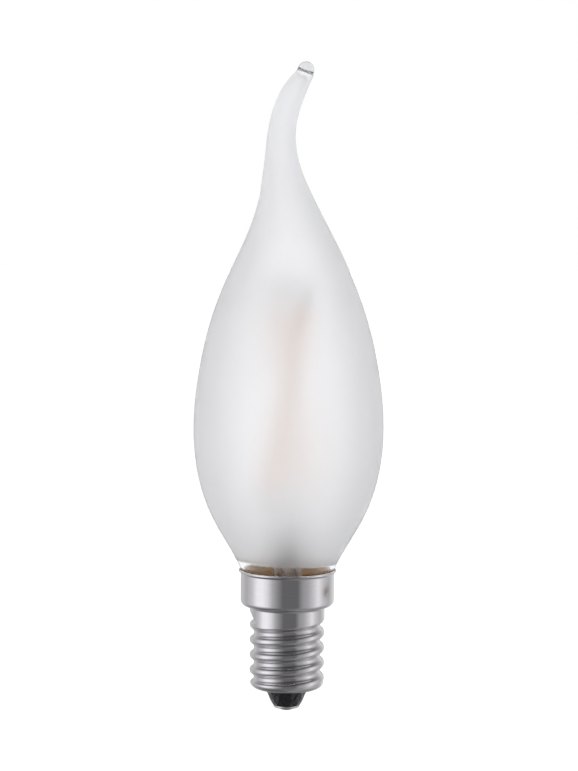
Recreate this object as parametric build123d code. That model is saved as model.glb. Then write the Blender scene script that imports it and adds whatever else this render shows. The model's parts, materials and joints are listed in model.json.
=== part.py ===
from build123d import *
import math
import os

os.makedirs("parts", exist_ok=True)

# Frosted candle lamp with a bent tail and a screw cap, in millimetres.
# Z runs up the lamp's axis from the solder button, X to the right, Y to the back.

# Screw cap: one rolled sheet with curled lip, thread, plain neck, skirt and flared rim
sheet = 0.3
thread_crest_radius = 6.9
thread_depth = 0.8
thread_pitch = 2.822
crest_height = 11.72
thread_run_out = 1.5
plain_neck = 0.9
shoulder_height = 19.6
skirt_radius = 8.6
skirt_corner = 1.0
rim_height = 26.25
flare_height = 0.7
flare_out = 0.38
lip_height = 4.2
lip_hole_radius = 3.95
curl_radius = 1.5
curl_turn = 78.0
thread_foot = 0.7
foot_run_out = 1.1
dimple_turn = -34.0
dimple_drop = 3.7
dimple_radius = 0.6
dimple_depth = 0.16

# Cement, insulator and centre contact
cement_thickness = 0.35
cement_drop = 0.95
film_gap = 0.02
flange_gap = 0.7
flange_height = 1.4
bulge_radius = 3.55
bulge_height = 3.1
waist_radius = 2.95
waist_height = 1.7
foot_radius = 2.5
bore_gap = 0.2
plate_radius = 2.4
plate_thickness = 0.45
plate_edge = 0.25
button_height = 0.5
button_radius = 1.4
button_flat_radius = 0.65

# Glass envelope: outline points are (height above the rim along its axis, radius)
glass_wall = 0.65
neck_lift = 0.7
neck_straight = 3.0
collar_height = 0.75
collar_step = 0.25
lower_flank = [(5.25, 11.43), (9.75, 13.98), (16.45, 16.4)]
belly_height = 26.95
belly_radius = 17.5
upper_flank = [(36.5, 16.58), (47.55, 13.95), (58.55, 9.35), (67.35, 5.37)]
tail_outline = [(76.15, 3.0), (82.85, 2.42), (89.2, 2.02)]
bead_radius = 1.58
bead_flat_radius = 0.25
bead_floor = 0.75
tail_start = 53.75
lean_radius = 120.0
lean_turn = 8.0
return_radius = 56.8
hook_radius = 20.5
hook_turn = 35.5
tail_end_straight = 1.7

# Glass stem: trumpet, press, exhaust tube and pillar
stem_wall = 0.45
stem_tube_radius = 2.6
trumpet_rise = 6.0
stem_rise = 12.5
press_width = 6.4
press_depth = 3.0
press_rise = 4.0
exhaust_radius = 1.15
exhaust_wall = 0.35
exhaust_tip_gap = 0.8
pillar_radius = 1.2
knob_radius = 1.9

# Wires and light strips
wire_radius = 0.22
wire_bend = 0.8
lead_spacing = 3.2
lead_rise = 0.8
strip_length = 33.7
strip_width = 1.8
strip_thickness = 1.2
strip_tilt = 10.0
strip_offset = 3.2
strip_shift = -0.35
strip_foot = 4.25
tab_width = 1.2
tab_thickness = 0.3
tab_length = 3.2
weld_length = 2.0
anchor_rise = 0.6

# Driver in the cap: sizes are (width, depth, height), places are (x, height on the board)
board_width = 9.0
board_height = 8.2
board_thickness = 0.8
notch_width = 2.0
notch_height = 1.5
rectifier_size = (4.0, 1.4, 4.0)
rectifier_place = (-2.2, 3.6)
chip_size = (3.0, 1.2, 3.0)
chip_place = (2.4, 3.6)
resistor_size = (2.0, 0.5, 1.25)
resistor_place = (2.4, 6.6)
capacitor_radius = 2.0
capacitor_length = 6.5
capacitor_lift = 0.3
capacitor_edge = 0.3
fuse_radius = 1.1
fuse_length = 5.2
fuse_stand_off = 2.9
fuse_lift = 1.7
fuse_edge = 0.4
fuse_lead_rise = 0.6
fuse_lead_bend = 0.35
side_lead_place = 3.6
side_lead_foot = 5.6
side_lead_drop = 2.2
side_solder_radius = 0.4
side_solder_height = 0.55
side_solder_edge = 0.15

# Levels and radii that follow from the sizes above
skirt_inside = skirt_radius - sheet
rim_radius = skirt_radius + flare_out
corner_radius = min(skirt_corner, 0.8 * (skirt_radius - thread_crest_radius))
shoulder_top = shoulder_height + sheet
flare_foot = rim_height - flare_height
lip_top = lip_height + sheet * math.sin(math.radians(curl_turn))
curl_top = lip_height + curl_radius * math.sin(math.radians(curl_turn))
neck_radius = skirt_inside - cement_thickness
neck_bottom = shoulder_top + neck_lift
collar_radius = skirt_inside + flare_out + collar_step
board_bottom = lip_top + flange_height
board_top = board_bottom + board_height
board_face = board_thickness / 2
stem_top = neck_bottom + stem_rise
press_top = stem_top + press_rise
strip_bottom = press_top + strip_foot
tilt_sine = math.sin(math.radians(strip_tilt))
tilt_cosine = math.cos(math.radians(strip_tilt))
anchor_height = strip_bottom + (strip_length + tab_length) * tilt_cosine + anchor_rise
weld_offset = tab_thickness / 2 + wire_radius

# How finely the lofted glass and thread are drawn
thread_point_count = 16
glass_point_count = 24
pitch_section_count = 12
curl_section_count = 4
neck_section_count = 3
body_section_count = 45
bead_section_count = 6


def save(name, piece):
    """Write one named piece to its own file."""
    export_step(piece, f"parts/{name}.step")


def line(start, end):
    """A straight edge between two (radius, height) points of an outline."""
    return Edge.make_line((start[0], 0, start[1]), (end[0], 0, end[1]))


def arc(start, middle, end):
    """A round edge through three (radius, height) points of an outline."""
    return Edge.make_three_point_arc(*((point[0], 0, point[1]) for point in (start, middle, end)))


def polygon(*points):
    """Straight edges around a closed outline of (radius, height) points."""
    return [line(start, end) for start, end in zip(points, points[1:] + points[:1])]


def turned(edges):
    """A solid of revolution about the lamp's axis."""
    return revolve(make_face(edges), Axis.Z)


def round_bar(radius, low, high, place=(0, 0)):
    """An upright round bar between two heights."""
    align = (Align.CENTER, Align.CENTER, Align.MIN)
    return Pos(place[0], place[1], low) * Cylinder(radius, high - low, align=align)


def wire_along(points, bend):
    """A round wire along straight runs joined by bends."""
    path = FilletPolyline(*points, radius=bend)
    return sweep(Plane(origin=path @ 0, z_dir=path % 0) * Circle(wire_radius), path=path)


def half_turn(piece):
    """The same piece on the other side of the lamp's axis."""
    return Rot(0, 0, 180) * piece


def ease(share):
    """A smooth step from 0 to 1."""
    share = min(max(share, 0.0), 1.0)
    return share * share * (3.0 - 2.0 * share)


def closed_section(points):
    """A smooth closed wire through points spaced evenly around an axis."""
    knots = [index / len(points) for index in range(len(points) + 1)]
    return Wire([Edge.make_spline(points, periodic=True, parameters=knots)])


def side_faces(solid):
    """The curved faces of a solid with two flat ends."""
    return [face for face in solid.faces() if face.geom_type != GeomType.PLANE]


def end_wires(solid):
    """The wires around the lower and upper flat ends of a solid."""
    ends = [face for face in solid.faces() if face.geom_type == GeomType.PLANE]
    ends.sort(key=lambda face: face.center().Z)
    return ends[0].outer_wire(), ends[-1].outer_wire()


def thread_drop(turns):
    """Depth under the crest of the rounded thread, at a place counted in pitches."""
    radius = (thread_pitch**2 / 4 + thread_depth**2) / (4 * thread_depth)
    place = abs((turns + 0.5) % 1.0 - 0.5) * thread_pitch
    if place <= thread_pitch / 4:
        return radius - math.sqrt(radius**2 - place**2)
    return thread_depth - radius + math.sqrt(radius**2 - (thread_pitch / 2 - place) ** 2)


def thread_section(height, radius, inset, lift):
    """The threaded wall's outline at one height, moved in and up by part of the sheet."""
    top_fade = ease((shoulder_height - plain_neck - height) / thread_run_out)
    foot_fade = ease((height - lip_height - thread_foot) / foot_run_out)
    points = []
    for index in range(thread_point_count):
        turn = index / thread_point_count
        drop = thread_drop((height - crest_height) / thread_pitch - turn)
        reach = radius - top_fade * foot_fade * drop - inset
        angle = 2 * math.pi * turn
        points.append((reach * math.cos(angle), reach * math.sin(angle), height + lift))
    return closed_section(points)


def threaded_core(inset):
    """Everything inside the threaded wall, from the curled lip up to the shoulder."""
    sections = []
    for index in range(curl_section_count):
        turn = math.radians(curl_turn * (1 - index / curl_section_count))
        height = curl_top - curl_radius * math.sin(turn)
        radius = thread_crest_radius - curl_radius * (1 - math.cos(turn))
        inward = inset * math.cos(turn)
        sections.append(thread_section(height, radius, inward, inset * math.sin(turn)))
    rise = shoulder_height + inset - curl_top
    count = math.ceil(rise / thread_pitch * pitch_section_count)
    for index in range(count + 1):
        height = curl_top + rise * index / count
        sections.append(thread_section(height, thread_crest_radius, inset, 0))
    return Solid.make_loft(sections)


def skirt_band():
    """The skirt's sheet from the end of the flat shoulder to the flared rim."""
    start = skirt_radius - corner_radius
    bend_top = shoulder_height + corner_radius
    inside_bend = corner_radius - sheet
    middle = math.sqrt(0.5)
    outer_middle = (start + corner_radius * middle, bend_top - corner_radius * middle)
    inner_middle = (start + inside_bend * middle, bend_top - inside_bend * middle)
    return turned(
        [
            line((start, shoulder_top), (start, shoulder_height)),
            arc((start, shoulder_height), outer_middle, (skirt_radius, bend_top)),
            line((skirt_radius, bend_top), (skirt_radius, flare_foot)),
            line((skirt_radius, flare_foot), (rim_radius, rim_height - sheet)),
            line((rim_radius, rim_height - sheet), (rim_radius, rim_height)),
            line((rim_radius, rim_height), (rim_radius - sheet, rim_height)),
            line((rim_radius - sheet, rim_height), (skirt_inside, flare_foot)),
            line((skirt_inside, flare_foot), (skirt_inside, bend_top)),
            arc((skirt_inside, bend_top), inner_middle, (start, shoulder_top)),
        ]
    )


def cap_shell():
    """The rolled cap: its faces are sewn into one sheet, then the skirt is dimpled."""
    outside = threaded_core(0)
    inside = threaded_core(sheet)
    outer_low, outer_high = end_wires(outside)
    inner_low, inner_high = end_wires(inside)
    lip_bore = round_bar(lip_hole_radius, lip_height, lip_top).solid()
    bore_low, bore_high = end_wires(lip_bore)
    skirt = skirt_band()
    seam = skirt.faces().filter_by(GeomType.CYLINDER).sort_by(lambda face: face.radius)[0]
    seam_rings = seam.edges().filter_by(GeomType.CIRCLE).sort_by(Axis.Z)
    seam_low, seam_high = (Wire([ring]) for ring in seam_rings)
    faces = [face for face in skirt.faces() if face != seam]
    faces += side_faces(outside) + side_faces(inside) + side_faces(lip_bore)
    faces.append(Face(seam_low, [outer_high]))
    faces.append(Face(seam_high, [inner_high]))
    faces.append(Face(outer_low, [bore_low]))
    faces.append(Face(inner_low, [bore_high]))
    punch_reach = skirt_radius + dimple_radius - dimple_depth
    punch = Pos(punch_reach, 0, rim_height - dimple_drop) * Sphere(dimple_radius)
    return Solid(Shell(faces)) - Rot(0, 0, dimple_turn) * punch


def glass_axis():
    """The envelope's axis: straight, a slight lean to the left, then a hook to the right."""
    rise = Line((0, 0), (0, tail_start))
    lean = JernArc(rise @ 1, rise % 1, lean_radius, lean_turn)
    back = JernArc(lean @ 1, lean % 1, return_radius, -lean_turn)
    hook = JernArc(back @ 1, back % 1, hook_radius, -hook_turn)
    end = Line(hook @ 1, (hook @ 1) + (hook % 1) * tail_end_straight)
    return Wire([rise.edge(), lean.edge(), back.edge(), hook.edge(), end.edge()])


def glass_outline(bead_height):
    """The envelope's outline in three runs: straight neck, body with tail, and bead."""
    neck_foot = neck_bottom - rim_height
    neck = Line((neck_radius, neck_foot), (neck_radius, neck_foot + neck_straight))
    heights = [(collar_height, collar_radius)] + lower_flank
    heights += [(belly_height, belly_radius)] + upper_flank + tail_outline
    heights += [(bead_height, bead_radius)]
    points = [(radius, height) for height, radius in heights]
    body = Spline(neck @ 1, *points, tangents=((0, 1), (-0.1, 1)))
    flat_turn = math.degrees(math.acos(bead_flat_radius / bead_radius))
    bead = CenterArc((0, bead_height), bead_radius, 0, flat_turn)
    return neck, body, bead


def glass_section(axis, height, radius):
    """A round section of the envelope, square to its bent axis."""
    if height <= 0:
        centre, across = Vector(0, 0, rim_height + height), Vector(1, 0, 0)
    else:
        reach = min(height, axis.length)
        place = axis.position_at(reach, position_mode=PositionMode.LENGTH)
        along = axis.tangent_at(reach, position_mode=PositionMode.LENGTH)
        past = height - reach
        centre = Vector(place.X + along.X * past, 0, rim_height + place.Y + along.Y * past)
        across = Vector(along.Y, 0, -along.X)
    points = []
    for index in range(glass_point_count):
        angle = 2 * math.pi * index / glass_point_count
        side = across * (radius * math.cos(angle))
        points.append(centre + side + Vector(0, radius * math.sin(angle), 0))
    return closed_section(points)


def glass_envelope():
    """The blown glass: a thin wall from the open neck up to the solid bead."""
    axis = glass_axis()
    neck, body, bead = glass_outline(axis.length)
    outer_sections = []
    inner_sections = []
    floor = axis.length - bead_floor
    runs = [(neck, neck_section_count, True), (body, body_section_count, True)]
    runs += [(bead, bead_section_count, False)]
    for run, count, hollow in runs:
        for index in range(count):
            share = index / count if hollow else (index + 1) / count
            point = run @ share
            along = run % share
            outer_sections.append(glass_section(axis, point.Y, point.X))
            depth_height = point.Y + glass_wall * along.X
            if hollow and depth_height < floor:
                inner_radius = point.X - glass_wall * along.Y
                inner_sections.append(glass_section(axis, depth_height, inner_radius))
    outside = Solid.make_loft(outer_sections)
    inside = Solid.make_loft(inner_sections)
    outer_low, outer_high = end_wires(outside)
    inner_low, inner_high = end_wires(inside)
    faces = side_faces(outside) + side_faces(inside)
    faces += [Face(outer_low, [inner_low]), Face(outer_high), Face(inner_high)]
    return Solid(Shell(faces))


def glass_radius(height):
    """The envelope's outer radius at a height above the rim."""
    body = glass_outline(glass_axis().length)[1]
    low, high = 0.0, 1.0
    for _ in range(40):
        middle = (low + high) / 2
        if (body @ middle).Y < height:
            low = middle
        else:
            high = middle
    return (body @ low).X


def basing_cement():
    """The cement ring between the glass neck and the skirt."""
    inner = neck_radius + film_gap
    outer = skirt_inside - film_gap
    top_inner = glass_radius(-cement_drop) + film_gap
    cement_top = rim_height - cement_drop
    neck_top = neck_bottom + neck_straight
    foot = [(inner, neck_bottom), (outer, neck_bottom)]
    top = [(outer, cement_top), (top_inner, cement_top), (inner, neck_top)]
    return turned(polygon(*foot, *top))


def cap_insulator():
    """The black glass in the cap's end: a flange on the lip and a rounded foot below it."""
    neck = lip_hole_radius - film_gap
    flange = thread_crest_radius - thread_depth - sheet - flange_gap
    foot = button_height + plate_thickness
    bore = wire_radius + bore_gap
    points = [(neck, lip_height), (bulge_radius, bulge_height)]
    points += [(waist_radius, waist_height), (foot_radius, foot)]
    ends = ((0, 0, -1), (foot_radius - waist_radius, 0, foot - waist_height))
    side = Edge.make_spline([(radius, 0, height) for radius, height in points], tangents=ends)
    corners = [(foot_radius, foot), (bore, foot), (bore, board_bottom), (flange, board_bottom)]
    corners += [(flange, lip_top), (neck, lip_top), (neck, lip_height)]
    return turned([side] + [line(start, end) for start, end in zip(corners, corners[1:])])


def contact_plate():
    """The centre contact: a round plate with a rounded lower edge and a hole for its wire."""
    plate = round_bar(plate_radius, button_height, button_height + plate_thickness)
    plate = fillet(plate.edges().group_by(Axis.Z)[0], plate_edge)
    return plate - round_bar(wire_radius + film_gap, 0, board_bottom)


def contact_solder():
    """The solder button: a dome under the plate, worn flat where it touches the holder."""
    reach = button_radius - button_flat_radius
    curve = (reach**2 + button_height**2) / (2 * button_height)
    turn = math.atan2(reach, curve - button_height) / 2
    middle = (button_flat_radius + curve * math.sin(turn), curve * (1 - math.cos(turn)))
    dome = arc((button_flat_radius, 0), middle, (button_radius, button_height))
    top = line((button_radius, button_height), (0, button_height))
    middle_line = line((0, button_height), (0, 0))
    return turned([dome, top, middle_line, line((0, 0), (button_flat_radius, 0))])


def lead_holes():
    """Bars that open the press where the two leads pass through it."""
    place = lead_spacing / 2
    radius = wire_radius + film_gap
    return [round_bar(radius, neck_bottom, press_top, (side * place, 0)) for side in (-1, 1)]


def stem_flare():
    """The stem: a trumpet that meets the neck, a tube, and the flat press that holds the leads."""
    rim = neck_radius - glass_wall - film_gap
    bore = stem_tube_radius - stem_wall
    spread = rim - stem_tube_radius
    trumpet_radius = (trumpet_rise**2 + spread**2) / (2 * spread)
    centre = stem_tube_radius + trumpet_radius
    trumpet_top = neck_bottom + trumpet_rise

    def curve_point(radius, drop):
        return (centre - math.sqrt(radius**2 - drop**2), trumpet_top - drop)

    inner_radius = trumpet_radius + stem_wall
    outer_foot = curve_point(trumpet_radius, trumpet_rise)
    inner_foot = curve_point(inner_radius, trumpet_rise)
    half_rise = trumpet_rise / 2
    outer = arc(outer_foot, curve_point(trumpet_radius, half_rise), (stem_tube_radius, trumpet_top))
    inner = arc((bore, trumpet_top), curve_point(inner_radius, half_rise), inner_foot)
    corners = [(stem_tube_radius, trumpet_top), (stem_tube_radius, stem_top), (0, stem_top)]
    corners += [(0, stem_top - stem_wall), (bore, stem_top - stem_wall), (bore, trumpet_top)]
    edges = [outer, inner, line(inner_foot, outer_foot)]
    edges += [line(start, end) for start, end in zip(corners, corners[1:])]
    press = Pos(0, 0, stem_top) * extrude(SlotOverall(press_width, press_depth), press_rise)
    return turned(edges) + press - lead_holes()


def exhaust_tube():
    """The tube the bulb was emptied through, melted shut at its lower end."""
    tip = board_top + exhaust_tip_gap
    top = stem_top - stem_wall
    bore = exhaust_radius - exhaust_wall
    round_height = tip + exhaust_radius
    middle = math.sqrt(0.5)
    outer_middle = (exhaust_radius * middle, round_height - exhaust_radius * middle)
    inner_middle = (bore * middle, round_height - bore * middle)
    outer = arc((0, tip), outer_middle, (exhaust_radius, round_height))
    inner = arc((bore, round_height), inner_middle, (0, round_height - bore))
    corners = [(exhaust_radius, round_height), (exhaust_radius, top), (bore, top), (bore, round_height)]
    edges = [outer, inner, line((0, round_height - bore), (0, tip))]
    return turned(edges + [line(start, end) for start, end in zip(corners, corners[1:])])


def strip_point(along, offset=0.0):
    """A point on the front strip's axis, counted up from its foot, moved back by an offset."""
    foot = strip_shift - strip_length * tilt_sine / 2
    return (foot + along * tilt_sine, offset - strip_offset, strip_bottom + along * tilt_cosine)


def strip_plane(along):
    """A plane square to the front strip."""
    across = (tilt_cosine, 0, -tilt_sine)
    return Plane(origin=strip_point(along), x_dir=across, z_dir=(tilt_sine, 0, tilt_cosine))


def light_strip():
    """The front strip: a bar of chips under a rounded coat of phosphor."""
    return extrude(strip_plane(0) * SlotOverall(strip_width, strip_thickness), strip_length)


def strip_tab(along):
    """A flat metal tab in line with the front strip, from a place along it upwards."""
    return extrude(strip_plane(along) * Rectangle(tab_width, tab_thickness), tab_length)


def strip_lead():
    """The lead on the front strip's side: up through the press, out, and along the lower tab."""
    place = -lead_spacing / 2
    turn_height = press_top + lead_rise
    turn_along = (turn_height - strip_bottom) / tilt_cosine
    points = [
        (place, 0, board_top),
        (place, 0, turn_height),
        strip_point(turn_along, weld_offset),
        strip_point(weld_length - tab_length, weld_offset),
    ]
    return wire_along(points, wire_bend)


def anchor_wire():
    """The wire that joins both strips above the pillar."""
    start = strip_point(strip_length + tab_length - weld_length, weld_offset)
    corner = strip_point((anchor_height - strip_bottom) / tilt_cosine, weld_offset)
    other = [(-x, -y, z) for x, y, z in (corner, start)]
    return wire_along([start, corner] + other, wire_bend)


def glass_pillar():
    """The glass rod on the press, with a knob melted around the anchor wire."""
    corner = strip_point((anchor_height - strip_bottom) / tilt_cosine, weld_offset)
    rod = round_bar(pillar_radius, press_top, anchor_height)
    rod += Pos(0, 0, anchor_height) * Sphere(knob_radius)
    run = Plane(origin=corner, z_dir=(-corner[0], -corner[1], 0))
    hole = extrude(run * Circle(wire_radius + film_gap), 2 * math.hypot(corner[0], corner[1]))
    return rod - hole


def driver_board():
    """The circuit board that stands on the insulator, notched for the centre lead."""
    align = (Align.CENTER, Align.CENTER, Align.MIN)
    board = Box(board_width, board_thickness, board_height, align=align)
    notch = Box(notch_width, board_thickness, notch_height, align=align)
    return Pos(0, 0, board_bottom) * (board - notch)


def board_chip(size, place):
    """A moulded part on the front of the board."""
    depth = -board_face - size[1] / 2
    return Pos(place[0], depth, board_bottom + place[1]) * Box(*size)


def smoothing_capacitor():
    """A can that stands against the back of the board."""
    low = board_bottom + capacitor_lift
    can = round_bar(capacitor_radius, low, low + capacitor_length, (0, board_face + capacitor_radius))
    return fillet(can.edges().filter_by(GeomType.CIRCLE), capacitor_edge)


def fuse_place():
    """Where the fuse resistor stands: depth, foot and top."""
    foot = board_bottom + fuse_lift
    return -board_face - fuse_stand_off, foot, foot + fuse_length


def fuse_resistor():
    """The resistor in the line to the centre contact."""
    depth, foot, top = fuse_place()
    body = round_bar(fuse_radius, foot, top, (0, depth))
    return fillet(body.edges().filter_by(GeomType.CIRCLE), fuse_edge)


def fuse_lead():
    """The wire from the top of the fuse resistor to the board."""
    depth, _, top = fuse_place()
    height = top + fuse_lead_rise
    return wire_along([(0, depth, top), (0, depth, height), (0, -board_face, height)], fuse_lead_bend)


def centre_lead():
    """The wire from the fuse resistor, under the board, to the solder button."""
    depth, foot, _ = fuse_place()
    height = board_bottom + notch_height / 2
    points = [(0, depth, foot), (0, depth, height), (0, 0, height), (0, 0, button_height)]
    return wire_along(points, fuse_lead_bend)


def side_lead():
    """The wire from the back of the board to the shoulder inside the skirt."""
    depth = board_face + wire_radius
    ledge = shoulder_top + wire_radius
    points = [
        (side_lead_place, depth, board_bottom + side_lead_foot),
        (side_lead_place, depth, shoulder_height - side_lead_drop),
        (thread_crest_radius - sheet - wire_bend, depth, ledge),
        (side_solder_place() + side_solder_radius / 2, depth, ledge),
    ]
    return wire_along(points, wire_bend)


def side_solder_place():
    """How far out the solder sits: the middle of the shoulder's flat ledge."""
    return (thread_crest_radius - sheet + skirt_radius - corner_radius) / 2


def side_solder():
    """The solder that holds the side lead to the shoulder."""
    place = (side_solder_place(), board_face + wire_radius)
    drop = round_bar(side_solder_radius, shoulder_top, shoulder_top + side_solder_height, place)
    return fillet(drop.edges().group_by(Axis.Z)[-1], side_solder_edge) - side_lead()


save("cap_shell", cap_shell())
save("basing_cement", basing_cement())
save("cap_insulator", cap_insulator())
save("contact_plate", contact_plate())
save("contact_solder", contact_solder())
save("glass_envelope", glass_envelope())
save("stem_flare", stem_flare())
save("exhaust_tube", exhaust_tube())
save("glass_pillar", glass_pillar())
save("anchor_wire", anchor_wire())
save("lead_wire_left", strip_lead())
save("lead_wire_right", half_turn(strip_lead()))
for place, arrange in (("front", lambda piece: piece), ("rear", half_turn)):
    save(f"filament_{place}", arrange(light_strip()))
    save(f"filament_{place}_top_tab", arrange(strip_tab(strip_length)))
    save(f"filament_{place}_bottom_tab", arrange(strip_tab(-tab_length)))
save("driver_board", driver_board())
save("rectifier", board_chip(rectifier_size, rectifier_place))
save("driver_chip", board_chip(chip_size, chip_place))
save("sense_resistor", board_chip(resistor_size, resistor_place))
save("smoothing_capacitor", smoothing_capacitor())
save("fuse_resistor", fuse_resistor())
save("fuse_lead", fuse_lead())
save("centre_lead", centre_lead())
save("side_lead", side_lead())
save("side_solder", side_solder())
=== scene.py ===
import json
import logging
import math
from dataclasses import dataclass, field
from enum import Enum

import bpy
import numpy as np
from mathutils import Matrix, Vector


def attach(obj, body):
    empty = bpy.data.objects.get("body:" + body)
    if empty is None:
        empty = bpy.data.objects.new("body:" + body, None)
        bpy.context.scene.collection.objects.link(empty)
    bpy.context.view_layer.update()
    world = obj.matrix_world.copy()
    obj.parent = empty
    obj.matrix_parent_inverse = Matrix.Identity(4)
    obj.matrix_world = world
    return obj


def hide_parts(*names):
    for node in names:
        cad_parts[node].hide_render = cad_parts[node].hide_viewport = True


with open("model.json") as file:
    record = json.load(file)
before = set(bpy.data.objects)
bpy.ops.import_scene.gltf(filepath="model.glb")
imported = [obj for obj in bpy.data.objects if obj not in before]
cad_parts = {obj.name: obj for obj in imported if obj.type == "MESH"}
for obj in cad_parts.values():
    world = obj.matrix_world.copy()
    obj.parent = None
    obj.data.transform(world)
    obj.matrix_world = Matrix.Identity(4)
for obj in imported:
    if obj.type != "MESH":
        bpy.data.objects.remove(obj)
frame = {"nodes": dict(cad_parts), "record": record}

MM = 0.001
Colour = tuple[float, float, float]
Stretch = tuple[float, float, float]
Span = tuple[float, float]
OutlineRow = tuple[float, float, float, float]
Socket = bpy.types.NodeSocket
WHITE: Colour = (1.0, 1.0, 1.0)
EVEN: Stretch = (1.0, 1.0, 1.0)
NOISE_SPAN: Span = (0.3, 0.7)
RIM_HEIGHT = 26.25
log = logging.getLogger("candle_bulb")


class Slot(Enum):
    """The record's material slots."""

    FROSTED_GLASS = "frosted_glass"
    CLEAR_GLASS = "clear_glass"
    NICKEL_PLATE = "nickel_plate"
    BLACK_GLASS = "black_glass"
    CONTACT_METAL = "contact_metal"
    SOLDER = "solder"
    CEMENT = "cement"
    PHOSPHOR = "phosphor"
    LEAD_WIRE = "lead_wire"
    TAB_METAL = "tab_metal"
    BOARD = "board"
    BLACK_MOULDING = "black_moulding"
    CAPACITOR_SLEEVE = "capacitor_sleeve"
    RESISTOR_COAT = "resistor_coat"


class Body(Enum):
    """The CAD bodies a piece can ride on."""

    LAMP = "root"


def smooth_step(low: float, high: float, value: np.ndarray | float) -> np.ndarray | float:
    """A smooth rise from 0 at low to 1 at high.

    Args:
        low: where the rise starts.
        high: where it ends.
        value: one place or an array of places.

    Returns:
        The share risen at each place.
    """
    share = np.clip((value - low) / (high - low), 0.0, 1.0)
    return share * share * (3.0 - 2.0 * share)


class NodeTree:
    """The node tree of a material or a world."""

    noise_layers: float = 3.0

    def __init__(self, owner: bpy.types.Material | bpy.types.World, empty: bool = True) -> None:
        """Take the owner's tree.

        Args:
            owner: the material or world to fill.
            empty: whether its nodes are cleared first.
        """
        owner.use_nodes = True
        self.tree = owner.node_tree
        if empty:
            self.tree.nodes.clear()

    def add(self, kind: str, **settings: object) -> bpy.types.Node:
        """Add a node.

        Args:
            kind: the node's Blender type.
            settings: its properties.

        Returns:
            The new node.
        """
        node = self.tree.nodes.new(kind)
        for name, value in settings.items():
            setattr(node, name, value)
        return node

    def join(self, source: Socket, target: Socket) -> None:
        """Link an output to an input.

        Args:
            source: the output.
            target: the input.
        """
        self.tree.links.new(source, target)

    def math(self, operation: str, first: Socket, second: Socket | float) -> Socket:
        """Add a calculation with two values, the first of them from a node.

        Args:
            operation: the Math node's operation.
            first: an output.
            second: an output or a plain number.

        Returns:
            The result's output.
        """
        node = self.add("ShaderNodeMath", operation=operation)
        self.join(first, node.inputs[0])
        if isinstance(second, (int, float)):
            node.inputs[1].default_value = second
        else:
            self.join(second, node.inputs[1])
        return node.outputs[0]

    def ramp(self, source: Socket, stops: list[tuple[float, Colour]]) -> Socket:
        """Add a colour ramp.

        Args:
            source: what drives it.
            stops: places from 0 to 1 with their colours.

        Returns:
            The colour output.
        """
        node = self.add("ShaderNodeValToRGB")
        node.color_ramp.interpolation = "LINEAR"
        elements = node.color_ramp.elements
        while len(elements) < len(stops):
            elements.new(1.0)
        for element, (place, colour) in zip(elements, stops):
            element.position = place
            element.color = (*colour, 1.0)
        self.join(source, node.inputs["Fac"])
        return node.outputs["Color"]

    def two_tone(self, pattern: Socket, dark: Colour, light: Colour) -> Socket:
        """Add a ramp between two tones.

        Args:
            pattern: the noise that drives it.
            dark: the tone where the noise is low.
            light: the tone where it is high.

        Returns:
            The colour output.
        """
        low, high = NOISE_SPAN
        return self.ramp(pattern, [(low, dark), (high, light)])

    def rescale(self, source: Socket, span: Span, out: Span) -> Socket:
        """Add a clamped linear rescale of a value.

        Args:
            source: the value.
            span: its low and high end.
            out: what those become.

        Returns:
            The rescaled output.
        """
        node = self.add("ShaderNodeMapRange")
        for name, value in zip(("From Min", "From Max", "To Min", "To Max"), (*span, *out)):
            node.inputs[name].default_value = value
        self.join(source, node.inputs["Value"])
        return node.outputs["Result"]

    def blend(self, share: Socket, first: Socket, second: Socket) -> Socket:
        """Add a mix of two colours.

        Args:
            share: how much of the second is in it.
            first: a colour.
            second: another colour.

        Returns:
            The mixed colour.
        """
        node = self.add("ShaderNodeMix", data_type="RGBA")
        self.join(share, node.inputs["Factor"])
        self.join(first, node.inputs["A"])
        self.join(second, node.inputs["B"])
        return node.outputs["Result"]

    def noise(self, size: float, stretch: Stretch = EVEN) -> Socket:
        """Add noise fixed to the object.

        Args:
            size: the length of one patch in millimetres.
            stretch: how many times finer it is along each axis.

        Returns:
            The noise output.
        """
        place = self.add("ShaderNodeTexCoord")
        mapping = self.add("ShaderNodeMapping")
        mapping.inputs["Scale"].default_value = stretch
        node = self.add("ShaderNodeTexNoise")
        node.inputs["Scale"].default_value = 1.0 / (size * MM)
        node.inputs["Detail"].default_value = self.noise_layers
        self.join(place.outputs["Object"], mapping.inputs["Vector"])
        self.join(mapping.outputs["Vector"], node.inputs["Vector"])
        return node.outputs["Fac"]


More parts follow.
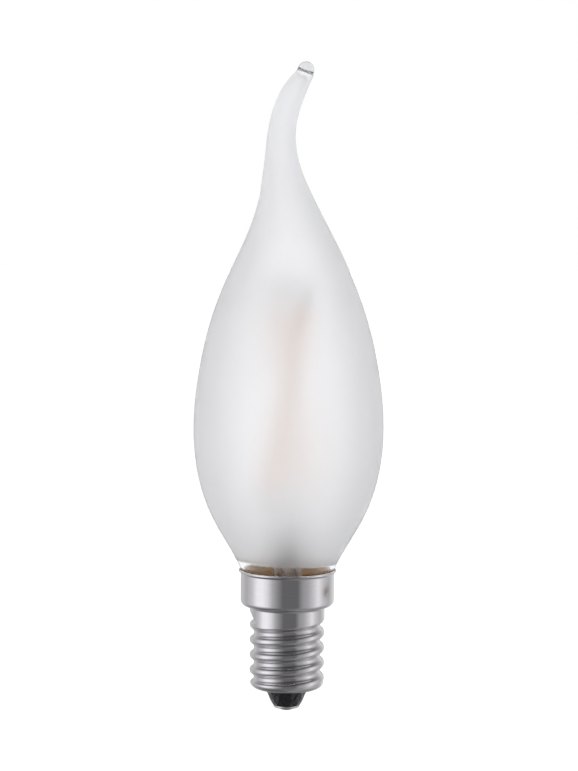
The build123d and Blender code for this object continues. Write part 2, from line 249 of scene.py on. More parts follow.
@dataclass(frozen=True)
class Finish:
    """A surface with two tones and two roughnesses mixed by noise.

    Grain and bump heights are in millimetres, absorption is per millimetre.
    """

    slot: Slot
    dark: Colour
    light: Colour
    roughness: Span
    grain: float = 2.0
    stretch: Stretch = EVEN
    metallic: float = 0.0
    transmission: float = 0.0
    ior: float = 1.5
    bump: float = 0.0
    bump_grain: float = 0.5
    bump_stretch: Stretch = EVEN
    absorption: float = 0.0
    depth_colour: Colour = (0.0, 0.0, 0.06)

    def material(self) -> bpy.types.Material:
        """Build the material.

        Returns:
            The new material.
        """
        made = bpy.data.materials.new(self.slot.value)
        tree = NodeTree(made)
        shader = tree.add("ShaderNodeBsdfPrincipled")
        shader.inputs["Metallic"].default_value = self.metallic
        shader.inputs["Transmission Weight"].default_value = self.transmission
        shader.inputs["IOR"].default_value = self.ior
        pattern = tree.noise(self.grain, self.stretch)
        tree.join(tree.two_tone(pattern, self.dark, self.light), shader.inputs["Base Color"])
        tree.join(tree.rescale(pattern, NOISE_SPAN, self.roughness), shader.inputs["Roughness"])
        if self.bump:
            self.add_bump(tree, shader)
        output = tree.add("ShaderNodeOutputMaterial")
        tree.join(shader.outputs["BSDF"], output.inputs["Surface"])
        if self.absorption:
            depth = tree.add("ShaderNodeVolumeAbsorption")
            depth.inputs["Color"].default_value = (*self.depth_colour, 1.0)
            depth.inputs["Density"].default_value = self.absorption / MM
            tree.join(depth.outputs["Volume"], output.inputs["Volume"])
        return made

    def add_bump(self, tree: NodeTree, shader: bpy.types.Node) -> None:
        """Add fine relief to a shader.

        Args:
            tree: the material's tree.
            shader: the shader whose normal is changed.
        """
        bump = tree.add("ShaderNodeBump")
        bump.inputs["Strength"].default_value = 1.0
        bump.inputs["Distance"].default_value = self.bump * MM
        tree.join(tree.noise(self.bump_grain, self.bump_stretch), bump.inputs["Height"])
        tree.join(bump.outputs["Normal"], shader.inputs["Normal"])


@dataclass(frozen=True)
class FrostFinish:
    """Glass that is etched where the mesh's frost value is 1 and clear where it is 0.

    Above 1 it is etched rougher and its base colour darkens towards a painted shade, as on the tail.
    """

    dark: Colour = (0.972, 0.97, 0.98)
    light: Colour = (0.99, 0.988, 0.996)
    # Painted shade: the tail's base colour darkens towards this tone.
    tail_painted_shade: Colour = (0.87, 0.87, 0.88)
    tail_painted_shade_span: Span = (1.0, 1.6)
    clear_roughness: float = 0.03
    frost_roughness: float = 0.54
    mottle: float = 0.03
    grain: float = 1.2
    ior: float = 1.48

    def material(self) -> bpy.types.Material:
        """Build the material.

        Returns:
            The new material.
        """
        made = bpy.data.materials.new(Slot.FROSTED_GLASS.value)
        tree = NodeTree(made)
        shader = tree.add("ShaderNodeBsdfPrincipled")
        shader.inputs["Transmission Weight"].default_value = 1.0
        shader.inputs["IOR"].default_value = self.ior
        frost = tree.add("ShaderNodeAttribute", attribute_name="frost").outputs["Fac"]
        pattern = tree.noise(self.grain)
        plain = tree.two_tone(pattern, self.dark, self.light)
        # Painted shade: where frost rises above 1, on the tail, the base colour darkens.
        shade = tree.add("ShaderNodeMix", data_type="RGBA")
        tree.join(tree.rescale(frost, self.tail_painted_shade_span, (0.0, 1.0)), shade.inputs["Factor"])
        tree.join(plain, shade.inputs["A"])
        shade.inputs["B"].default_value = (*self.tail_painted_shade, 1.0)
        tree.join(shade.outputs["Result"], shader.inputs["Base Color"])
        gain = self.frost_roughness - self.clear_roughness
        etched = tree.math("ADD", tree.math("MULTIPLY", frost, gain), self.clear_roughness)
        uneven = tree.rescale(pattern, NOISE_SPAN, (-self.mottle, self.mottle))
        mottled = tree.math("MULTIPLY", frost, uneven)
        tree.join(tree.math("ADD", etched, mottled), shader.inputs["Roughness"])
        output = tree.add("ShaderNodeOutputMaterial")
        tree.join(shader.outputs["BSDF"], output.inputs["Surface"])
        return made


@dataclass(frozen=True)
class PlateFinish(Finish):
    """Plated metal darkened by painted shade around its dimple, fully where the mesh's shade value is 1."""

    # Colour of the painted shade in and around the dimple.
    dimple_shade_colour: Colour = (0.36, 0.31, 0.29)

    def material(self) -> bpy.types.Material:
        """Build the material.

        Returns:
            The new material.
        """
        made = super().material()
        tree = NodeTree(made, empty=False)
        shader = made.node_tree.nodes["Principled BSDF"]
        plain = shader.inputs["Base Color"].links[0].from_socket
        # Painted shade: the plate darkens towards the shade colour around the dimple.
        painted_dimple_shade = tree.add("ShaderNodeAttribute", attribute_name="painted_dimple_shade").outputs["Fac"]
        mixed = tree.add("ShaderNodeMix", data_type="RGBA")
        tree.join(painted_dimple_shade, mixed.inputs["Factor"])
        tree.join(plain, mixed.inputs["A"])
        mixed.inputs["B"].default_value = (*self.dimple_shade_colour, 1.0)
        tree.join(mixed.outputs["Result"], shader.inputs["Base Color"])
        return made


def ring_faces(rows: int, count: int, first: int, loop: bool) -> list[tuple[int, ...]]:
    """Faces between rings of points that follow one another.

    Args:
        rows: the number of rings.
        count: the points in each ring.
        first: the first point's number.
        loop: whether the last ring joins the first; if not, both ends are closed.

    Returns:
        The point numbers of each face.
    """
    faces: list[tuple[int, ...]] = []
    for row in range(rows if loop else rows - 1):
        below, above = first + row * count, first + (row + 1) % rows * count
        for column in range(count):
            after = (column + 1) % count
            faces.append((below + column, below + after, above + after, above + column))
    if not loop:
        faces.append(tuple(reversed(range(first, first + count))))
        faces.append(tuple(range(first + (rows - 1) * count, first + rows * count)))
    return faces


def ring_mesh(name: str, strips: list[list[np.ndarray]], loop: bool) -> bpy.types.Object:
    """Build a smooth mesh of closed skins, each through rings with the same number of points.

    Args:
        name: the new object's name.
        strips: the rings of each skin, one array of points in metres for each ring.
        loop: whether a skin's last ring joins its first; if not, both ends are closed.

    Returns:
        The new object.
    """
    count = len(strips[0][0])
    points = np.concatenate([ring for strip in strips for ring in strip])
    faces: list[tuple[int, ...]] = []
    first = 0
    for strip in strips:
        faces += ring_faces(len(strip), count, first, loop)
        first += len(strip) * count
    mesh = bpy.data.meshes.new(name)
    mesh.from_pydata(points.tolist(), [], faces)
    mesh.polygons.foreach_set("use_smooth", [True] * len(mesh.polygons))
    made = bpy.data.objects.new(name, mesh)
    bpy.context.scene.collection.objects.link(made)
    return made


def place_piece(piece: bpy.types.Object, slot: Slot, *nodes: str) -> None:
    """Join a new piece to the lamp.

    Args:
        piece: the piece, already in the lamp's frame.
        slot: the record's slot for its finish; not used.
        nodes: the CAD nodes that it stands for.
    """
    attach(piece, Body.LAMP.value)
    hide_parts(*nodes)
    log.info("built %s for %s", piece.name, ", ".join(nodes))


class Curve:
    """A smooth curve through points, with given directions at both ends."""

    def __init__(self, points: list[Span], start: Span, end: Span) -> None:
        """Work out the slopes.

        Args:
            points: the points the curve passes through.
            start: its direction at the first point.
            end: its direction at the last point.
        """
        self.points = np.array(points, float)
        steps = np.linalg.norm(np.diff(self.points, axis=0), axis=1)
        self.places = np.concatenate([[0.0], np.cumsum(steps)])
        size = len(points)
        matrix = np.zeros((size, size))
        right = np.zeros((size, 2))
        matrix[0, 0] = matrix[-1, -1] = 1.0
        right[0] = np.array(start) / np.linalg.norm(start)
        right[-1] = np.array(end) / np.linalg.norm(end)
        slopes = np.diff(self.points, axis=0) / steps[:, None]
        for index in range(1, size - 1):
            before, after = steps[index - 1], steps[index]
            matrix[index, index - 1 : index + 2] = (after, 2.0 * (before + after), before)
            right[index] = 3.0 * (after * slopes[index - 1] + before * slopes[index])
        self.slopes = np.linalg.solve(matrix, right)

    def at(self, share: float) -> tuple[np.ndarray, np.ndarray]:
        """A point and direction.

        Args:
            share: how far along, from 0 to 1.

        Returns:
            The point and the unit direction there.
        """
        along = share * self.places[-1]
        index = int(min(max(np.searchsorted(self.places, along, "right") - 1, 0), len(self.places) - 2))
        step = self.places[index + 1] - self.places[index]
        t = (along - self.places[index]) / step
        a, b = self.points[index], self.points[index + 1]
        u, v = self.slopes[index] * step, self.slopes[index + 1] * step
        point = (2 * t**3 - 3 * t**2 + 1) * a + (t**3 - 2 * t**2 + t) * u
        point = point + (3 * t**2 - 2 * t**3) * b + (t**3 - t**2) * v
        slope = (6 * t**2 - 6 * t) * a + (3 * t**2 - 4 * t + 1) * u
        slope = slope + (6 * t - 6 * t**2) * b + (3 * t**2 - 2 * t) * v
        return point, slope / np.linalg.norm(slope)


@dataclass
class Envelope:
    """The blown glass with its bent tail, and its bead with a void. Lengths are in millimetres.

    Outline points are heights above the cap's rim, along the bent axis, with radii.
    """

    rim_height: float = RIM_HEIGHT
    wall: float = 0.65
    neck_radius: float = 7.95
    neck_foot: float = -5.65
    neck_straight: float = 3.0
    outline: list[Span] = field(
        default_factory=lambda: [
            (0.75, 8.93), (5.25, 11.43), (9.75, 13.98), (16.45, 16.4), (26.95, 17.5), (36.5, 16.58),
            (47.55, 13.95), (58.55, 9.35), (67.35, 5.37), (76.15, 3.0), (82.85, 2.42), (89.2, 2.02),
        ]
    )
    bead_radius: float = 1.5
    bead_flat_radius: float = 0.25
    bead_base: float = 0.62
    bead_gap: float = 0.01
    bead_floor: float = 1.0
    hollow_round: float = 0.8
    bubble_radius: float = 1.16
    bubble_depth: float = 0.48
    hollow_rows: int = 8
    tail_start: float = 53.75
    bends: list[Span] = field(
        default_factory=lambda: [(120.0, 8.0), (56.8, -8.0), (20.5, -35.5), (3.0, 17.0)]
    )
    tail_end_straight: float = 0.69
    frost_foot: Span = (1.65, 2.1)
    frost_tilt: float = 0.035
    tail_frost_and_shade: float = 1.35
    tail_frost_and_shade_span: Span = (58.0, 74.0)
    frost_top: Span = (0.7, 0.5)
    end_direction: Span = (1.0, -0.1)
    row_clearance: float = 0.1
    sharp_angle: float = 60.0
    segments: int = 96
    body_rows: int = 150
    bead_rows: int = 14

    def axis_length(self) -> float:
        """Add up the bent axis.

        Returns:
            Its length above the rim.
        """
        bent = sum(radius * math.radians(abs(turn)) for radius, turn in self.bends)
        return self.tail_start + bent + self.tail_end_straight

    def axis_at(self, height: float) -> tuple[float, float, float]:
        """A place on the bent axis.

        Args:
            height: the length along the axis from the rim.

        Returns:
            How far right, how far up from the rim, and the lean to the left in radians.
        """
        x, z, lean = 0.0, min(height, self.tail_start), 0.0
        left = max(height - self.tail_start, 0.0)
        for radius, turn in self.bends:
            run = min(left, radius * math.radians(abs(turn)))
            bend = math.copysign(1.0 / radius, turn)
            after = lean + bend * run
            x += (math.cos(after) - math.cos(lean)) / bend
            z += (math.sin(after) - math.sin(lean)) / bend
            lean = after
            left -= run
        return x - math.sin(lean) * left, z + math.cos(lean) * left, lean

    def ring(self, height: float, radius: float) -> np.ndarray:
        """A round ring square to the axis.

        Args:
            height: the length along the axis from the rim.
            radius: the ring's radius.

        Returns:
            Its points in metres.
        """
        x, z, lean = self.axis_at(height)
        angles = np.arange(self.segments) * (2.0 * math.pi / self.segments)
        across = radius * np.cos(angles)
        sideways = x + across * math.cos(lean)
        upward = self.rim_height + z + across * math.sin(lean)
        return np.stack([sideways, radius * np.sin(angles), upward], axis=1) * MM

    def profile(self) -> list[OutlineRow]:
        """Work out the outline from the neck's foot to the tip.

        Returns:
            The height, the radius and the direction at each row.
        """
        neck_top = self.neck_foot + self.neck_straight
        rows = [(self.neck_foot, self.neck_radius, 1.0, 0.0)]
        points = [(neck_top, self.neck_radius), *self.outline, (self.axis_length(), self.bead_radius)]
        curve = Curve(points, (1.0, 0.0), self.end_direction)
        for index in range(self.body_rows):
            point, slope = curve.at(index / self.body_rows)
            rows.append((*point, *slope))
        turn_end = math.acos(self.bead_flat_radius / self.bead_radius)
        for index in range(self.bead_rows + 1):
            turn = turn_end * index / self.bead_rows
            height = self.axis_length() + self.bead_radius * math.sin(turn)
            rows.append((height, self.bead_radius * math.cos(turn), math.cos(turn), -math.sin(turn)))
        return rows

    def hollow(self, outside: list[OutlineRow]) -> list[Span]:
        """The inside, with a round end under the bead.

        Args:
            outside: the outline's rows.

        Returns:
            Heights and radii from the neck's foot up.
        """
        inside = []
        for height, radius, rise, spread in outside:
            inner_height = height + self.wall * spread
            if inner_height < self.axis_length() - self.bead_floor - self.hollow_round:
                inside.append((inner_height, radius - self.wall * rise))
        foot, reach = inside[-1]
        for index in range(1, self.hollow_rows):
            turn = math.pi / 2 * index / self.hollow_rows
            inside.append((foot + self.hollow_round * math.sin(turn), reach * math.cos(turn)))
        return inside

    def bubble(self) -> list[Span]:
        """Work out the void in the bead.

        Returns:
            Heights and radii from its top down.
        """
        rows = []
        for index in range(1, 4 * self.hollow_rows):
            turn = math.pi / 2 - math.pi * index / (4 * self.hollow_rows)
            tall = self.bubble_radius if turn > 0.0 else self.bubble_depth
            rows.append((self.axis_length() + tall * math.sin(turn), self.bubble_radius * math.cos(turn)))
        return rows

    def build(self, finish: FrostFinish, bead_finish: Finish) -> bpy.types.Object:
        """Build the glass and its bead and dress them.

        Args:
            finish: the blown glass's finish.
            bead_finish: the bead's finish.

        Returns:
            The glass.
        """
        top = self.axis_length()
        outside = self.profile()
        base = top - self.bead_base
        base_radius = float(np.interp(base, [row[0] for row in outside], [row[1] for row in outside]))
        skin = list(reversed(self.hollow(outside)))
        skin += [(height, radius) for height, radius, _, _ in outside if height < base - self.row_clearance]
        skin.append((base - self.bead_gap, base_radius))
        piece = ring_mesh("envelope", [[self.ring(*row) for row in skin]], loop=False)
        heights = np.repeat([height for height, _ in skin], self.segments)
        across = np.array([vertex.co.x for vertex in piece.data.vertices]) / MM
        frost = smooth_step(*self.frost_foot, heights + self.frost_tilt * across)
        frost *= smooth_step(top - self.frost_top[1], top - self.frost_top[0], heights)
        # On the tail the frost value rises above 1: rougher etching, and painted shade in the finish's base
        # colour.
        frost *= 1.0 + (self.tail_frost_and_shade - 1.0) * smooth_step(*self.tail_frost_and_shade_span, heights)
        attribute = piece.data.attributes.new("frost", "FLOAT", "POINT")
        attribute.data.foreach_set("value", frost.astype(np.float32))
        piece.data.set_sharp_from_angle(angle=math.radians(self.sharp_angle))
        piece.data.materials.append(finish.material())
        place_piece(piece, Slot.FROSTED_GLASS, "glass_envelope")
        dome = [(base, base_radius)]
        dome += [(height, radius) for height, radius, _, _ in outside if height > base + self.row_clearance]
        skins = [[self.ring(*row) for row in rows] for rows in (dome, self.bubble())]
        bead = ring_mesh("bead", skins, loop=False)
        bead.data.set_sharp_from_angle(angle=math.radians(self.sharp_angle))
        bead.data.materials.append(bead_finish.material())
        place_piece(bead, Slot.CLEAR_GLASS, "glass_envelope")
        return piece


@dataclass
class ScrewCap:
    """The rolled metal cap: curled lip, rounded thread, skirt with a dimple, flared rim.

    Lengths are in millimetres, turns of the curl and the dimple in degrees.
    """

    sheet: float = 0.3
    crest_radius: float = 6.9
    thread_depth: float = 0.8
    pitch: float = 2.822
    crest_height: float = 11.72
    run_out: float = 1.0
    plain_neck: float = 0.35
    thread_start: float = 0.635
    start_taper: float = 0.13
    neck_fillet: float = 0.55
    shoulder_height: float = 19.6
    skirt_radius: float = 8.6
    corner: float = 1.0
    rim_height: float = RIM_HEIGHT
    flare_height: float = 0.7
    flare_out: float = 0.38
    flare_power: float = 1.6
    rim_rounding: float = 0.07
    lip_height: float = 4.2
    lip_hole_radius: float = 3.95
    curl_radius: float = 1.5
    curl_turn: float = 78.0
    foot: float = 0.7
    foot_run_out: float = 1.1
    dimple_turn: float = -34.0
    dimple_drop: float = 3.7
    dimple_radius: float = 0.5
    dimple_depth: float = 0.1
    dimple_reach: float = 2.0
    dimple_falloff: float = 2.0
    # Spread and upward shift of the painted shade around the dimple.
    painted_shade_radius: float = 1.0
    painted_shade_lift: float = 0.4
    sharp_angle: float = 50.0
    segments: int = 320
    rows_per_pitch: int = 32
    curl_rows: int = 12
    fillet_rows: int = 8
    corner_rows: int = 12
    skirt_rows: int = 40
    flare_rows: int = 8
    edge_rows: int = 6

    def drop(self, turns: np.ndarray) -> np.ndarray:
        """Depth below the crest of the rounded thread.

        Args:
            turns: places counted in pitches from a crest.

        Returns:
            The depth at each place.
        """
        radius = (self.pitch**2 / 4 + self.thread_depth**2) / (4 * self.thread_depth)
        spot = np.abs((turns + 0.5) % 1.0 - 0.5) * self.pitch
        crest = radius - np.sqrt(np.maximum(radius**2 - spot**2, 0.0))
        past = self.pitch / 2 - spot
        valley = self.thread_depth - radius + np.sqrt(np.maximum(radius**2 - past**2, 0.0))
        return np.where(spot <= self.pitch / 4, crest, valley)

    def ring(self, height: float, radius: float, threaded: bool = False) -> np.ndarray:
        """A ring of the cap.

        Args:
            height: its height.
            radius: its radius, at the crest if it is threaded.
            threaded: whether the thread is cut into it.

        Returns:
            Its points in metres.
        """
        turns = np.arange(self.segments) / self.segments
        reach = np.full(self.segments, radius)
        if threaded:
            past_start = (self.thread_start - turns) % 1.0
            before_groove = past_start + 1.0 - smooth_step(0.0, self.start_taper, past_start)
            plain = self.plain_neck + self.pitch * before_groove
            fade = smooth_step(0.0, self.run_out, self.shoulder_height - plain - height)
            fade *= smooth_step(0.0, self.foot_run_out, height - self.lip_height - self.foot)
            reach = reach - fade * self.drop((height - self.crest_height) / self.pitch - turns)
        angles = 2.0 * math.pi * turns
        points = [reach * np.cos(angles), reach * np.sin(angles), np.full(self.segments, height)]
        return np.stack(points, axis=1) * MM

    def outer_rings(self) -> list[np.ndarray]:
        """Work out the visible side.

        Returns:
            Its rings, from the lip's hole up to the flared rim.
        """
        rings = [self.ring(self.lip_height, self.lip_hole_radius)]
        turn_end = math.radians(self.curl_turn)
        curl_top = self.lip_height + self.curl_radius * math.sin(turn_end)
        for index in range(self.curl_rows):
            turn = turn_end * (1 - index / self.curl_rows)
            radius = self.crest_radius - self.curl_radius * (1 - math.cos(turn))
            rings.append(self.ring(curl_top - self.curl_radius * math.sin(turn), radius, True))
        rise = self.shoulder_height - self.neck_fillet - curl_top
        count = math.ceil(rise / self.pitch * self.rows_per_pitch)
        for index in range(count):
            rings.append(self.ring(curl_top + rise * index / count, self.crest_radius, True))
        for index in range(self.fillet_rows + 1):
            turn = math.pi / 2 * index / self.fillet_rows
            radius = self.crest_radius + self.neck_fillet * (1 - math.cos(turn))
            rings.append(self.ring(self.shoulder_height - self.neck_fillet * (1 - math.sin(turn)), radius))
        start = self.skirt_radius - self.corner
        for index in range(self.corner_rows + 1):
            turn = math.pi / 2 * index / self.corner_rows
            radius = start + self.corner * math.sin(turn)
            rings.append(self.ring(self.shoulder_height + self.corner * (1 - math.cos(turn)), radius))
        low, high = self.shoulder_height + self.corner, self.rim_height - self.flare_height
        for index in range(1, self.skirt_rows + 1):
            rings.append(self.ring(low + (high - low) * index / self.skirt_rows, self.skirt_radius))
        bend = self.flare_height - self.sheet
        for index in range(1, self.flare_rows + 1):
            share = index / self.flare_rows
            radius = self.skirt_radius + self.flare_out * share**self.flare_power
            rings.append(self.ring(high + bend * share, radius))
        edge = self.skirt_radius + self.flare_out - self.rim_rounding
        for index in range(self.edge_rows + 1):
            turn = math.pi / 2 * index / self.edge_rows
            radius = edge + self.rim_rounding * math.cos(turn)
            rings.append(self.ring(self.rim_height - self.rim_rounding * (1 - math.sin(turn)), radius))
        return rings

    def inner_rings(self) -> list[np.ndarray]:
        """Work out the hidden side.

        Returns:
            Its rings, from the rim down to the lip's hole.
        """
        inside = self.skirt_radius - self.sheet
        flare_foot = self.rim_height - self.flare_height
        core = self.crest_radius - self.thread_depth - self.sheet
        lip_top = self.lip_height + self.sheet
        return [
            self.ring(self.rim_height, inside + self.flare_out),
            self.ring(flare_foot, inside),
            self.ring(self.shoulder_height + self.corner, inside),
            self.ring(self.shoulder_height + self.sheet, self.skirt_radius - self.corner),
            self.ring(self.shoulder_height + self.sheet, core),
            self.ring(lip_top + self.curl_radius, core),
            self.ring(lip_top, core - self.sheet),
            self.ring(lip_top, self.lip_hole_radius),
        ]

    def dent(self, piece: bpy.types.Object) -> None:
        """Press the dimple into the skirt and mark the painted shade around it.

        Args:
            piece: the cap.
        """
        turn = math.radians(self.dimple_turn)
        spot = Vector((math.cos(turn), math.sin(turn), 0)) * self.skirt_radius
        spot.z = self.rim_height - self.dimple_drop
        painted_dimple_shade = piece.data.attributes.new("painted_dimple_shade", "FLOAT", "POINT")
        for vertex in piece.data.vertices:
            offset = vertex.co / MM - spot
            away = offset.length
            # Painted shade around the dimple, fading with distance from a centre raised above it.
            spread = (offset - Vector((0.0, 0.0, self.painted_shade_lift))).length / self.painted_shade_radius
            painted_dimple_shade.data[vertex.index].value = math.exp(-(spread**2))
            if away < self.dimple_reach * self.dimple_radius:
                push = self.dimple_depth * math.exp(-((away / self.dimple_radius) ** 2) * self.dimple_falloff)
                vertex.co -= Vector((math.cos(turn), math.sin(turn), 0)) * push * MM

    def build(self, finish: PlateFinish) -> bpy.types.Object:
        """Build the cap and dress it.

        Args:
            finish: its finish.

        Returns:
            The cap.
        """
        piece = ring_mesh("screw_cap", [self.outer_rings() + self.inner_rings()], loop=True)
        self.dent(piece)
        piece.data.set_sharp_from_angle(angle=math.radians(self.sharp_angle))
        piece.data.materials.append(finish.material())
        place_piece(piece, Slot.NICKEL_PLATE, "cap_shell")
        return piece


@dataclass
class CementRing:
    """The cement between neck and skirt, squeezed up into the flared rim. Lengths are in millimetres."""

    gap: float = 0.02
    bond: float = 0.005
    top_drop: float = 0.08
    sharp_angle: float = 50.0
    rows: int = 24
    segments: int = 128

    def build(self, glass: Envelope, cap: ScrewCap, finish: Finish) -> bpy.types.Object:
        """Build the cement and dress it.

        Args:
            glass: the glass it holds.
            cap: the cap it fills.
            finish: its finish.

        Returns:
            The cement.
        """
        outline = glass.profile()
        heights = [row[0] for row in outline]
        radii = [row[1] for row in outline]
        foot, top = glass.neck_foot, -self.top_drop
        places = [foot + (top - foot) * index / self.rows for index in range(self.rows + 1)]
        inside = [(place, float(np.interp(place, heights, radii)) - self.bond) for place in places]
        wall = cap.skirt_radius - cap.sheet - self.gap
        outside = []
        for place in places:
            flare = max(0.0, 1.0 + place / cap.flare_height)
            outside.append((place, wall + cap.flare_out * flare))
        rings = [self.ring(place + glass.rim_height, radius) for place, radius in inside + outside[::-1]]
        piece = ring_mesh("cement_ring", [rings], loop=True)
        piece.data.set_sharp_from_angle(angle=math.radians(self.sharp_angle))
        piece.data.materials.append(finish.material())
        place_piece(piece, Slot.CEMENT, "basing_cement")
        return piece

    def ring(self, height: float, radius: float) -> np.ndarray:
        """A round ring.

        Args:
            height: its height.
            radius: its radius.

        Returns:
            Its points in metres.
        """
        angles = np.arange(self.segments) * (2.0 * math.pi / self.segments)
        points = [radius * np.cos(angles), radius * np.sin(angles), np.full(self.segments, height)]
        return np.stack(points, axis=1) * MM


@dataclass
class CadDress:
    """Finishes for the CAD nodes that are shown as they are."""

    finishes: list[Finish]

    def dress(self, nodes: dict[str, bpy.types.Object], slots: dict[str, str]) -> None:
        """Give each CAD node that is still shown its finish.

        Args:
            nodes: the CAD nodes by name.
            slots: each node's slot.
        """
        made = {finish.slot.value: finish.material() for finish in self.finishes}
        for name, node in nodes.items():
            if node.hide_render:
                continue
            node.data.materials.clear()
            node.data.materials.append(made[slots[name]])
            log.info("dressed %s as %s", name, slots[name])


@dataclass
class Studio:
    """White floor, soft light from a tent with an opening at the camera, and the camera.

    Lengths are in millimetres. The tents' levels go by the angle around the lamp in degrees,
    and the back light's by how far a direction points away from the camera.
    """

    distance: float = 400.0
    camera_height: float = 89.7
    pitch: float = 4.2
    roll: float = 0.43
    lens: float = 135.9
    sensor_width: float = 36.0
    clip: Span = (10.0, 20000.0)
    offset: float = 0.03
    light_bounces: int = 32
    floor_drop: float = 0.4
    floor_size: float = 4000.0
    floor_dark: Colour = (0.86, 0.86, 0.86)
    floor_light: Colour = (0.9, 0.9, 0.9)
    floor_grain: float = 30.0
    floor_glow: float = 0.85
    light: float = 1.6
    high_edge: Span = (0.3, 0.85)
    under_edge: Span = (-0.3, -0.85)
    wall_turn: float = 0.16
    wall_tint: Colour = (0.93, 0.975, 1.05)
    wall_tint_span: Span = (-0.5, 0.2)
    low_tent: list[Span] = field(
        default_factory=lambda: [
            (-180.0, 0.4), (-166.0, 0.55), (-152.0, 0.73), (-119.0, 0.6), (-97.0, 0.82),
            (-80.0, 1.28), (-64.0, 1.32), (-50.0, 1.04), (-37.0, 0.6), (-24.0, 0.36), (-11.0, 0.18),
            (26.0, 0.18), (39.0, 0.43), (53.0, 0.55), (67.0, 0.8), (83.0, 1.14),
            (101.0, 0.8), (124.0, 0.6), (158.0, 0.9), (168.0, 0.55), (180.0, 0.4),
        ]
    )
    high_tent: list[Span] = field(
        default_factory=lambda: [
            (-180.0, 0.1), (-120.0, 0.06), (-75.0, 0.05), (-40.0, 0.06), (-15.0, 0.06),
            (15.0, 0.06), (40.0, 0.09), (75.0, 0.13), (120.0, 0.13), (180.0, 0.1),
        ]
    )
    under_tent: list[Span] = field(
        default_factory=lambda: [
            (-180.0, 0.2), (-120.0, 0.18), (-75.0, 0.16), (-40.0, 0.15), (-15.0, 0.2),
            (15.0, 0.22), (40.0, 0.28), (75.0, 0.36), (120.0, 0.3), (180.0, 0.2),
        ]
    )
    back_light: list[Span] = field(
        default_factory=lambda: [
            (-1.0, 1.1), (-0.7, 0.95), (-0.3, 0.55), (-0.05, 0.55),
            (0.15, 0.98), (0.4, 1.17), (0.9, 1.17), (1.0, 1.13),
        ]
    )

    def tone(self, level: float, tint: Colour) -> Colour:
        """A light level as a colour of the world.

        Args:
            level: how bright it is.
            tint: its tint.

        Returns:
            The colour, before the world's strength.
        """
        red, green, blue = (level / self.light * part for part in tint)
        return red, green, blue

    def build_world(self) -> None:
        """Light the scene by direction, white where the camera looks past the lamp.

        Metal mirrors the tent. What comes through glass is the lit wall behind the lamp,
        which falls off to cooler sides, and the room in front, which is bright again.
        """
        world = bpy.data.worlds.new("tent")
        bpy.context.scene.world = world
        tree = NodeTree(world)
        direction = tree.add("ShaderNodeSeparateXYZ")
        tree.join(tree.add("ShaderNodeTexCoord").outputs["Generated"], direction.inputs["Vector"])
        front = tree.math("MULTIPLY", direction.outputs["Y"], -1.0)
        turn = tree.math("ARCTAN2", direction.outputs["X"], front)
        share = tree.rescale(turn, (-math.pi, math.pi), (0.0, 1.0))
        under, low, high = (
            tree.ramp(share, [(angle / 360.0 + 0.5, self.tone(level, WHITE)) for angle, level in levels])
            for levels in (self.under_tent, self.low_tent, self.high_tent)
        )
        aside = tree.math("MULTIPLY", direction.outputs["X"], -self.wall_turn)
        behind = tree.rescale(tree.math("ADD", direction.outputs["Y"], aside), (-1.0, 1.0), (0.0, 1.0))
        stops = []
        tint_start, tint_end = self.wall_tint_span
        for place, level in self.back_light:
            tint = self.wall_tint if tint_start < place < tint_end else WHITE
            stops.append(((place + 1.0) / 2.0, self.tone(level, tint)))
        wall = tree.ramp(behind, stops)
        rise = direction.outputs["Z"]
        lower = tree.blend(tree.rescale(rise, self.under_edge, (0.0, 1.0)), low, under)
        around = tree.blend(tree.rescale(rise, self.high_edge, (0.0, 1.0)), lower, high)
        path = tree.add("ShaderNodeLightPath")
        tent = tree.add("ShaderNodeBackground")
        tent.inputs["Strength"].default_value = self.light
        tree.join(tree.blend(path.outputs["Is Transmission Ray"], around, wall), tent.inputs["Color"])
        backdrop = tree.add("ShaderNodeBackground")
        backdrop.inputs["Color"].default_value = (*WHITE, 1.0)
        mix = tree.add("ShaderNodeMixShader")
        tree.join(path.outputs["Is Camera Ray"], mix.inputs["Fac"])
        tree.join(tent.outputs["Background"], mix.inputs[1])
        tree.join(backdrop.outputs["Background"], mix.inputs[2])
        output = tree.add("ShaderNodeOutputWorld")
        tree.join(mix.outputs["Shader"], output.inputs["Surface"])

    def build_floor(self) -> None:
        """Lay a pale floor just under the lamp."""
        size = self.floor_size * MM
        height = -self.floor_drop * MM
        mesh = bpy.data.meshes.new("floor")
        corners = [(-size, -size, height), (size, -size, height), (size, size, height), (-size, size, height)]
        mesh.from_pydata(corners, [], [(0, 1, 2, 3)])
        floor = bpy.data.objects.new("floor", mesh)
        bpy.context.scene.collection.objects.link(floor)
        material = bpy.data.materials.new("floor")
        tree = NodeTree(material)
        paper = tree.add("ShaderNodeBsdfDiffuse")
        tone = tree.two_tone(tree.noise(self.floor_grain), self.floor_dark, self.floor_light)
        tree.join(tone, paper.inputs["Color"])
        glow = tree.add("ShaderNodeEmission")
        seen = tree.add("ShaderNodeLightPath").outputs["Is Camera Ray"]
        tree.join(tree.math("MULTIPLY", seen, self.floor_glow), glow.inputs["Strength"])
        both = tree.add("ShaderNodeAddShader")
        tree.join(paper.outputs["BSDF"], both.inputs[0])
        tree.join(glow.outputs["Emission"], both.inputs[1])
        output = tree.add("ShaderNodeOutputMaterial")
        tree.join(both.outputs["Shader"], output.inputs["Surface"])
        mesh.materials.append(material)
        floor.visible_glossy = False
        floor.visible_transmission = False

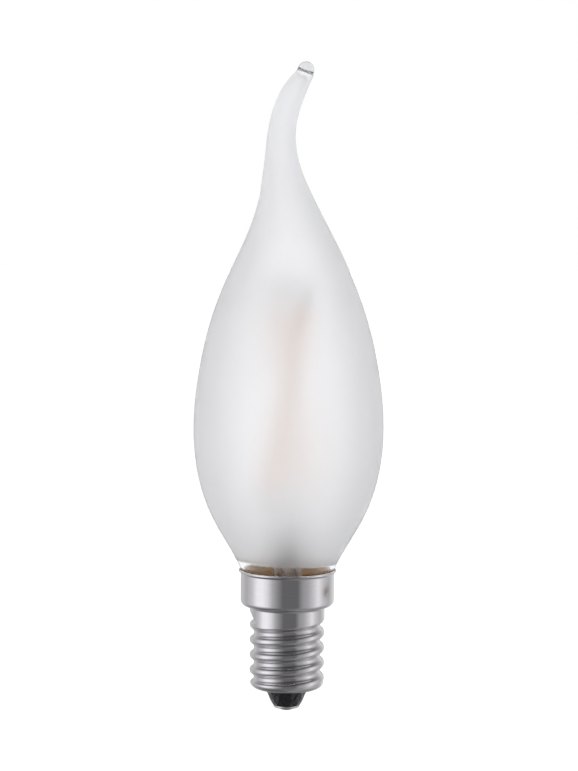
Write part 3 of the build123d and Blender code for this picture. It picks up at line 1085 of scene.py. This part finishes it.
    def build_camera(self) -> None:
        """Set up the camera as the photograph was taken."""
        data = bpy.data.cameras.new("camera")
        data.sensor_fit = "HORIZONTAL"
        data.sensor_width = self.sensor_width
        data.lens = self.lens
        data.clip_start, data.clip_end = (end * MM for end in self.clip)
        camera = bpy.data.objects.new("camera", data)
        camera.location = (self.offset * MM, -self.distance * MM, self.camera_height * MM)
        camera.rotation_mode = "XYZ"
        camera.rotation_euler = (math.radians(90.0 - self.pitch), 0.0, 0.0)
        camera.rotation_euler.rotate_axis("Z", math.radians(self.roll))
        bpy.context.scene.collection.objects.link(camera)
        bpy.context.scene.camera = camera

    def build(self) -> None:
        """Build the whole studio."""
        self.build_world()
        self.build_floor()
        self.build_camera()
        bpy.context.scene.view_settings.view_transform = "Standard"
        bpy.context.scene.cycles.max_bounces = self.light_bounces
        bpy.context.scene.cycles.transmission_bounces = self.light_bounces
        log.info("studio ready")


FROST = FrostFinish()
BEAD_GLASS = Finish(
    Slot.CLEAR_GLASS, (0.97, 0.975, 0.98), (0.985, 0.988, 0.99), (0.02, 0.04),
    transmission=1.0, absorption=0.38,
)
NICKEL = PlateFinish(
    Slot.NICKEL_PLATE, (0.625, 0.612, 0.64), (0.655, 0.64, 0.67), (0.08, 0.11),
    grain=1.5, stretch=(1.0, 1.0, 6.0), metallic=1.0,
    bump=0.0005, bump_grain=0.6, bump_stretch=(0.3, 0.3, 6.0),
)
CEMENT = Finish(
    Slot.CEMENT, (0.8, 0.42, 0.12), (0.97, 0.61, 0.22), (0.75, 0.9),
    grain=0.6, stretch=(0.4, 0.4, 1.5), bump=0.05, bump_grain=0.5,
)
CAD_FINISHES = [
    Finish(
        Slot.CLEAR_GLASS, (0.96, 0.965, 0.965), (0.98, 0.985, 0.985), (0.2, 0.35),
        grain=3.0, transmission=1.0,
    ),
    Finish(
        Slot.BLACK_GLASS, (0.002, 0.003, 0.006), (0.006, 0.009, 0.016), (0.05, 0.12),
        grain=1.6, ior=1.5, bump=0.9, bump_grain=1.1,
    ),
    Finish(
        Slot.CONTACT_METAL, (0.58, 0.575, 0.57), (0.68, 0.675, 0.67), (0.3, 0.45),
        grain=0.8, metallic=1.0,
    ),
    Finish(
        Slot.SOLDER, (0.66, 0.66, 0.665), (0.76, 0.76, 0.765), (0.28, 0.42),
        grain=0.6, metallic=1.0, bump=0.02, bump_grain=0.8,
    ),
    Finish(
        Slot.PHOSPHOR, (0.97, 0.76, 0.6), (0.99, 0.83, 0.69), (0.8, 0.9),
        grain=0.7, transmission=0.75, bump=0.02, bump_grain=0.6,
    ),
    Finish(Slot.LEAD_WIRE, (0.5, 0.48, 0.45), (0.6, 0.58, 0.55), (0.25, 0.4), grain=0.5, metallic=1.0),
    Finish(Slot.TAB_METAL, (0.55, 0.54, 0.52), (0.66, 0.65, 0.62), (0.25, 0.38), grain=0.5, metallic=1.0),
    Finish(Slot.BOARD, (0.03, 0.14, 0.06), (0.05, 0.2, 0.09), (0.35, 0.5), grain=0.8),
    Finish(Slot.BLACK_MOULDING, (0.012, 0.012, 0.013), (0.03, 0.03, 0.032), (0.5, 0.65), grain=0.4),
    Finish(Slot.CAPACITOR_SLEEVE, (0.02, 0.02, 0.045), (0.035, 0.035, 0.07), (0.25, 0.35), grain=1.0),
    Finish(Slot.RESISTOR_COAT, (0.2, 0.33, 0.3), (0.27, 0.42, 0.38), (0.4, 0.55), grain=0.7),
]


def main() -> None:
    """Build every piece in order."""
    logging.basicConfig(level=logging.INFO, format="%(message)s")
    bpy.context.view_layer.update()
    slots = {part["node"]: part["material_slot"] for part in frame["record"]["subparts"]}
    glass = Envelope()
    cap = ScrewCap()
    glass.build(FROST, BEAD_GLASS)
    cap.build(NICKEL)
    CementRing().build(glass, cap, CEMENT)
    CadDress(CAD_FINISHES).dress(frame["nodes"], slots)
    Studio().build()


if __name__ == "__main__":
    main()
